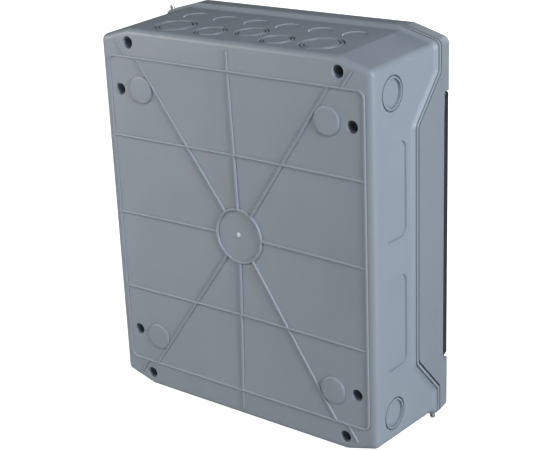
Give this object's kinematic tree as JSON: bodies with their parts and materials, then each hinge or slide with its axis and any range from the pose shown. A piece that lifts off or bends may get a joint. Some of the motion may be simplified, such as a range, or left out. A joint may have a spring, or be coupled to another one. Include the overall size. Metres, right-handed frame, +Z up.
{
  "type": "surface-mount distribution enclosure",
  "caption": "Upright wall-mounted plastic wiring enclosure: back box with knockouts, screw-on cover with device windows and a flip-up smoked door.",
  "frame": {"origin": "on the table plane, under the middle of the bounding box", "axes": "+Z up, +X to the right of someone facing the door, +Y from the door towards the wall"},
  "size_m": [0.278, 0.108, 0.3366],
  "materials": {
    "enclosure_grey": "fine moulded satin grey",
    "screw_grey": "moulded light grey",
    "seal_rubber": "soft dark elastomer",
    "zinc_steel": "zinc plated sheet",
    "fastener_steel": "plated screw",
    "brass": "drawn brass bar",
    "smoked_window": "smoked clear moulding",
    "neutral_blue": "moulded blue",
    "earth_green": "moulded green"
  },
  "bodies": {
    "enclosure": {"base_seal": "seal_rubber", "base_shell": "enclosure_grey", "beam_screw_lower_left": "fastener_steel", "beam_screw_lower_right": "fastener_steel", "beam_screw_upper_left": "fastener_steel", "beam_screw_upper_right": "fastener_steel", "device_rail_lower": "zinc_steel", "device_rail_upper": "zinc_steel", "frame_screw_lower_left": "fastener_steel", "frame_screw_lower_right": "fastener_steel", "frame_screw_upper_left": "fastener_steel", "frame_screw_upper_right": "fastener_steel", "frame_upright_left": "zinc_steel", "frame_upright_right": "zinc_steel", "rail_screw_lower_left": "fastener_steel", "rail_screw_lower_right": "fastener_steel", "rail_screw_upper_left": "fastener_steel", "rail_screw_upper_right": "fastener_steel", "sealing_screw_1": "fastener_steel", "sealing_screw_2": "fastener_steel", "terminal_bar_lower": "brass", "terminal_bar_upper": "brass", "terminal_beam_lower": "earth_green", "terminal_beam_upper": "neutral_blue", "terminal_screw_lower_1": "fastener_steel", "terminal_screw_lower_2": "fastener_steel", "terminal_screw_lower_3": "fastener_steel", "terminal_screw_lower_4": "fastener_steel", "terminal_screw_lower_5": "fastener_steel", "terminal_screw_lower_6": "fastener_steel", "terminal_screw_lower_7": "fastener_steel", "terminal_screw_lower_8": "fastener_steel", "terminal_screw_upper_1": "fastener_steel", "terminal_screw_upper_2": "fastener_steel", "terminal_screw_upper_3": "fastener_steel", "terminal_screw_upper_4": "fastener_steel", "terminal_screw_upper_5": "fastener_steel", "terminal_screw_upper_6": "fastener_steel", "terminal_screw_upper_7": "fastener_steel", "terminal_screw_upper_8": "fastener_steel", "wall_plug_1": "seal_rubber", "wall_plug_2": "seal_rubber", "wall_plug_3": "seal_rubber", "wall_plug_4": "seal_rubber"},
    "cover": {"front_cover": "enclosure_grey", "door_seal": "seal_rubber", "blanking_strip_upper": "enclosure_grey", "blanking_strip_lower": "enclosure_grey"},
    "door": {"window_door": "smoked_window", "hinge_pin_left": "fastener_steel", "hinge_pin_right": "fastener_steel"},
    "cover_screw_1": {"cover_screw_1": "screw_grey"},
    "cover_screw_2": {"cover_screw_2": "screw_grey"},
    "cover_screw_3": {"cover_screw_3": "screw_grey"},
    "cover_screw_4": {"cover_screw_4": "screw_grey"}
  },
  "joints": [
    {"name": "cover_pull", "type": "slide", "parent": "enclosure", "child": "cover", "axis": [0, -1, 0], "range_m": [0, 0.15]},
    {"name": "door_flip", "type": "hinge", "parent": "cover", "child": "door", "pos_m": [0, -0.05095, 0.2822], "axis": [-1, 0, 0], "range_deg": [0, 100]},
    {"name": "cover_screw_turn_1", "type": "hinge", "parent": "cover", "child": "cover_screw_1", "pos_m": [-0.1053, -0.03755, 0.319], "axis": [0, 1, 0], "range_deg": [0, 90]},
    {"name": "cover_screw_turn_2", "type": "hinge", "parent": "cover", "child": "cover_screw_2", "pos_m": [0.1053, -0.03755, 0.319], "axis": [0, 1, 0], "range_deg": [0, 90]},
    {"name": "cover_screw_turn_3", "type": "hinge", "parent": "cover", "child": "cover_screw_3", "pos_m": [-0.1053, -0.03755, 0.0176], "axis": [0, 1, 0], "range_deg": [0, 90]},
    {"name": "cover_screw_turn_4", "type": "hinge", "parent": "cover", "child": "cover_screw_4", "pos_m": [0.1053, -0.03755, 0.0176], "axis": [0, 1, 0], "range_deg": [0, 90]}
  ]
}
